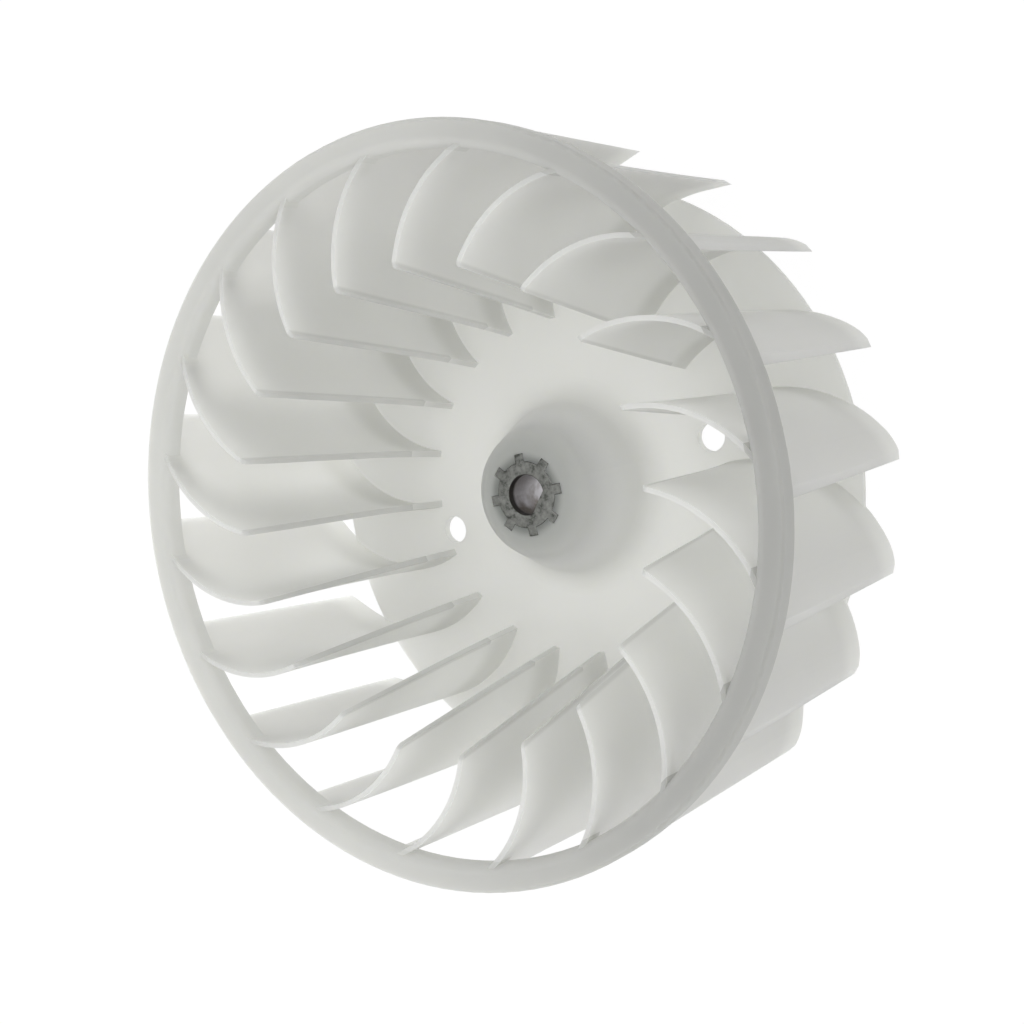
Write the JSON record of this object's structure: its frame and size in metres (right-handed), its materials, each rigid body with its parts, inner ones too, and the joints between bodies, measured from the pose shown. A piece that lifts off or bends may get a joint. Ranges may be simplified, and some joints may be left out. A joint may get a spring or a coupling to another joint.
{
  "type": "blower wheel",
  "caption": "Centrifugal blower wheel of a clothes dryer: open inlet ring, forward-raked curved blades, dished back disc and a tapered hub round a metal sleeve with a D-shaped bore.",
  "frame": {"origin": "on the wheel's axis, at the back plane that the blades and the disc's rim share", "axes": "+Z along the axis towards the inlet ring, +X through one of the disc's two round holes"},
  "size_m": [0.197, 0.197, 0.0785],
  "materials": {
    "natural_plastic": "translucent, satin",
    "sleeve_metal": "dull, mottled grey"
  },
  "bodies": {
    "root": {"blower_wheel": "natural_plastic", "drive_sleeve": "sleeve_metal"}
  },
  "joints": []
}
